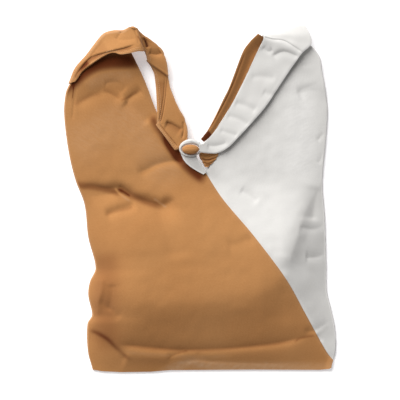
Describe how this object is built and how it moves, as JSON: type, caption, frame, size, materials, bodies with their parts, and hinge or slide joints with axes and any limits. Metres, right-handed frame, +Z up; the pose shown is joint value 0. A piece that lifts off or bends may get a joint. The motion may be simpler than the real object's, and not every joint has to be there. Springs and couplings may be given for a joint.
{
  "type": "canvas shoulder bag",
  "caption": "Empty two-colour cotton shoulder bag lying on its back, with a diagonal seam, two peaks beside a V-shaped mouth, and folded straps tied in a knot.",
  "frame": {"origin": "on the surface it lies on, under the middle of the bag's length and width", "axes": "+X across the bag towards its white side, +Y from the bottom edge to the tops of the straps, +Z up from the surface towards the bag's front"},
  "size_m": [0.3965, 0.5077, 0.0361],
  "materials": {
    "tan_canvas": "plain-woven cotton canvas, matt",
    "white_canvas": "plain-woven cotton canvas, matt"
  },
  "bodies": {
    "root": {"tan_body": "tan_canvas", "white_body": "white_canvas", "tan_strap": "tan_canvas", "white_strap": "white_canvas", "white_strap_facing": "tan_canvas", "tan_tail": "tan_canvas", "white_tail": "white_canvas", "knot_loop": "white_canvas", "knot_core": "tan_canvas"}
  },
  "joints": []
}
